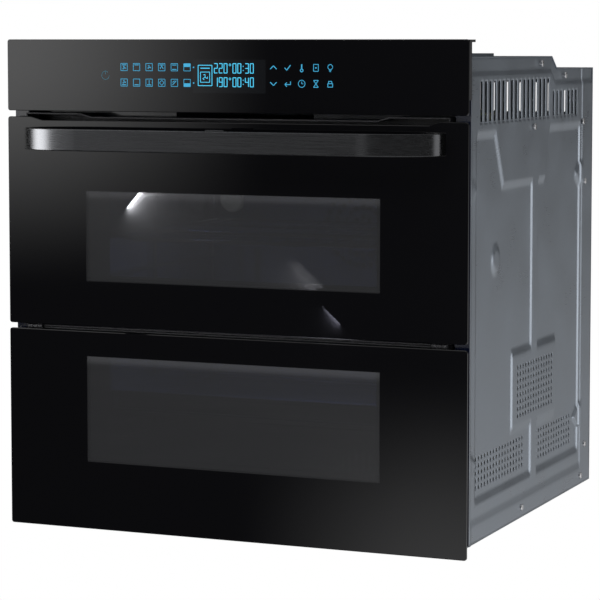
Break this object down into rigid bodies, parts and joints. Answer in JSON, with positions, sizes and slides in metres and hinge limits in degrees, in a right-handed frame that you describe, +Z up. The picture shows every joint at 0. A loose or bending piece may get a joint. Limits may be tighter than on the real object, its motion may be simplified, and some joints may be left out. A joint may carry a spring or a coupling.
{
  "type": "built-in wall oven",
  "caption": "Built-in wall oven: black glass front with a touch panel, a horizontally split door on two hinge lines, a bow handle and a louvred steel casing.",
  "frame": {"origin": "under the middle of the whole oven, on the plane of the feet", "axes": "+Z up, +Y from the glass front into the cabinet, +X to the right seen from the front"},
  "size_m": [0.595, 0.62, 0.5975],
  "materials": {
    "front_glass": "gloss",
    "clear_glass": "gloss",
    "zinc_sheet": "satin",
    "blue_enamel": "gloss",
    "door_steel": "satin",
    "handle_metal": "satin",
    "chrome_wire": "polished",
    "hinge_steel": "satin",
    "fan_metal": "satin",
    "heating_tube": "matte",
    "wool": "matte",
    "black_plastic": "matte",
    "circuit_board": "satin",
    "seal_rubber": "matte",
    "lamp_ceramic": "satin"
  },
  "bodies": {
    "casing": {"air_duct": "zinc_sheet", "base_feet": "black_plastic", "base_plate": "zinc_sheet", "blower_housing": "zinc_sheet", "blower_motor": "hinge_steel", "bottom_heater": "heating_tube", "cable_gland": "black_plastic", "casing_screws": "hinge_steel", "component_shelf": "zinc_sheet", "control_panel_bezel": "black_plastic", "control_panel_glass": "front_glass", "display_module": "black_plastic", "door_gasket": "seal_rubber", "door_hinge_bars": "hinge_steel", "fan_baffle": "blue_enamel", "fan_motors": "hinge_steel", "front_frame": "blue_enamel", "grill_element": "heating_tube", "insulation_rear": "wool", "insulation_wrap": "wool", "lamp_glasses": "clear_glass", "lamp_holders": "lamp_ceramic", "left_side_panel": "zinc_sheet", "left_side_rack": "chrome_wire", "oven_cavity": "blue_enamel", "power_board": "circuit_board", "rear_cover": "zinc_sheet", "rear_panel": "zinc_sheet", "right_side_panel": "zinc_sheet", "right_side_rack": "chrome_wire", "ring_heaters": "heating_tube", "temperature_sensors": "hinge_steel", "terminal_block": "black_plastic", "top_cover_front": "zinc_sheet", "top_cover_rear": "zinc_sheet", "touch_board": "circuit_board"},
    "lower_door": {"lower_door_frame": "door_steel", "lower_door_glass": "front_glass", "lower_door_middle_glass": "clear_glass", "lower_door_inner_glass": "clear_glass", "lower_glass_spacers": "black_plastic", "hinge_clevises": "hinge_steel", "hinge_pins": "hinge_steel", "mid_lower_leaves": "hinge_steel"},
    "upper_door": {"upper_door_frame": "door_steel", "upper_door_glass": "front_glass", "upper_door_middle_glass": "clear_glass", "upper_door_inner_glass": "clear_glass", "upper_glass_spacers": "black_plastic", "mid_upper_leaves": "hinge_steel", "mid_hinge_pins": "hinge_steel", "handle_bar": "handle_metal", "handle_screws": "hinge_steel", "lever_guide": "black_plastic"},
    "release_lever": {"release_lever": "handle_metal"},
    "wire_rack": {"wire_rack": "chrome_wire"},
    "baking_tray": {"baking_tray": "blue_enamel"},
    "upper_fan": {"upper_fan": "fan_metal"},
    "lower_fan": {"lower_fan": "fan_metal"},
    "blower_impeller": {"blower_impeller": "fan_metal"}
  },
  "joints": [
    {"name": "lower_door_hinge", "type": "hinge", "parent": "casing", "child": "lower_door", "pos_m": [0, -0.252, 0.0155], "axis": [1, 0, 0], "range_deg": [0, 90]},
    {"name": "upper_door_hinge", "type": "hinge", "parent": "lower_door", "child": "upper_door", "pos_m": [0, -0.257, 0.2473], "axis": [1, 0, 0], "range_deg": [0, 88]},
    {"name": "release_lever_press", "type": "slide", "parent": "upper_door", "child": "release_lever", "axis": [0, 0, -1], "range_m": [0, 0.004], "stiffness_N_per_m": 300, "springref_m": -0.002},
    {"name": "wire_rack_slide", "type": "slide", "parent": "casing", "child": "wire_rack", "axis": [0, -1, 0], "range_m": [0, 0.03]},
    {"name": "baking_tray_slide", "type": "slide", "parent": "casing", "child": "baking_tray", "axis": [0, -1, 0], "range_m": [0, 0.03]},
    {"name": "upper_fan_spin", "type": "hinge", "parent": "casing", "child": "upper_fan", "pos_m": [0, 0.19, 0.34725], "axis": [0, 1, 0], "continuous": true},
    {"name": "lower_fan_spin", "type": "hinge", "parent": "casing", "child": "lower_fan", "pos_m": [0, 0.19, 0.16475], "axis": [0, 1, 0], "continuous": true},
    {"name": "blower_spin", "type": "hinge", "parent": "casing", "child": "blower_impeller", "pos_m": [0, 0.04, 0.535], "axis": [1, 0, 0], "continuous": true}
  ]
}
